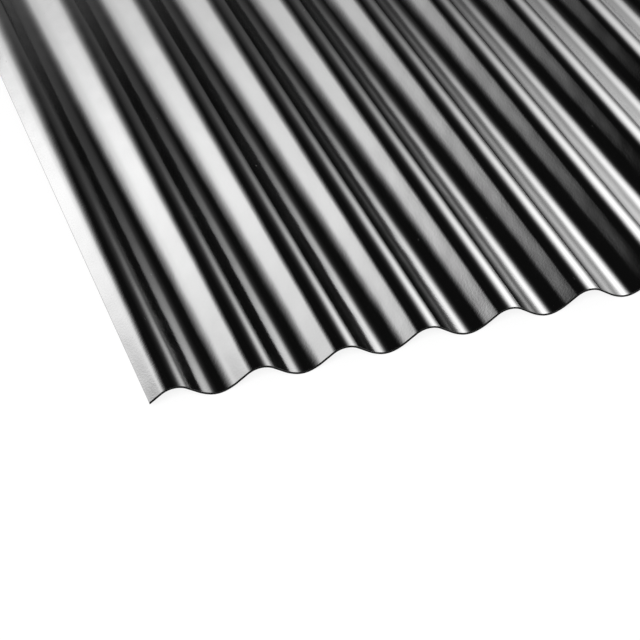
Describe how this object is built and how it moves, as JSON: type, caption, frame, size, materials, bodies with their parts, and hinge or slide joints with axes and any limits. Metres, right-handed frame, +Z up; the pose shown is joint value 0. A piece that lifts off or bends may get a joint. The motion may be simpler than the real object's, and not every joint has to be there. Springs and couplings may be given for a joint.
{
  "type": "corrugated pvc sheet",
  "caption": "Long roofing sheet of thin glossy black PVC, bent across its width into even rounded waves that shed water along their length.",
  "frame": {"origin": "the point on the floor under the middle of the sheet, half way along it and half way across it", "axes": "+X across the waves, from the edge that stops on a flank on the picture's left to the opposite edge; +Y along the waves, from the near cut end to the far one; +Z up, from the floor through the troughs to the crests"},
  "size_m": [0.9, 2, 0.018],
  "materials": {
    "black_pvc": "gloss"
  },
  "bodies": {
    "root": {"corrugated_sheet": "black_pvc"}
  },
  "joints": []
}
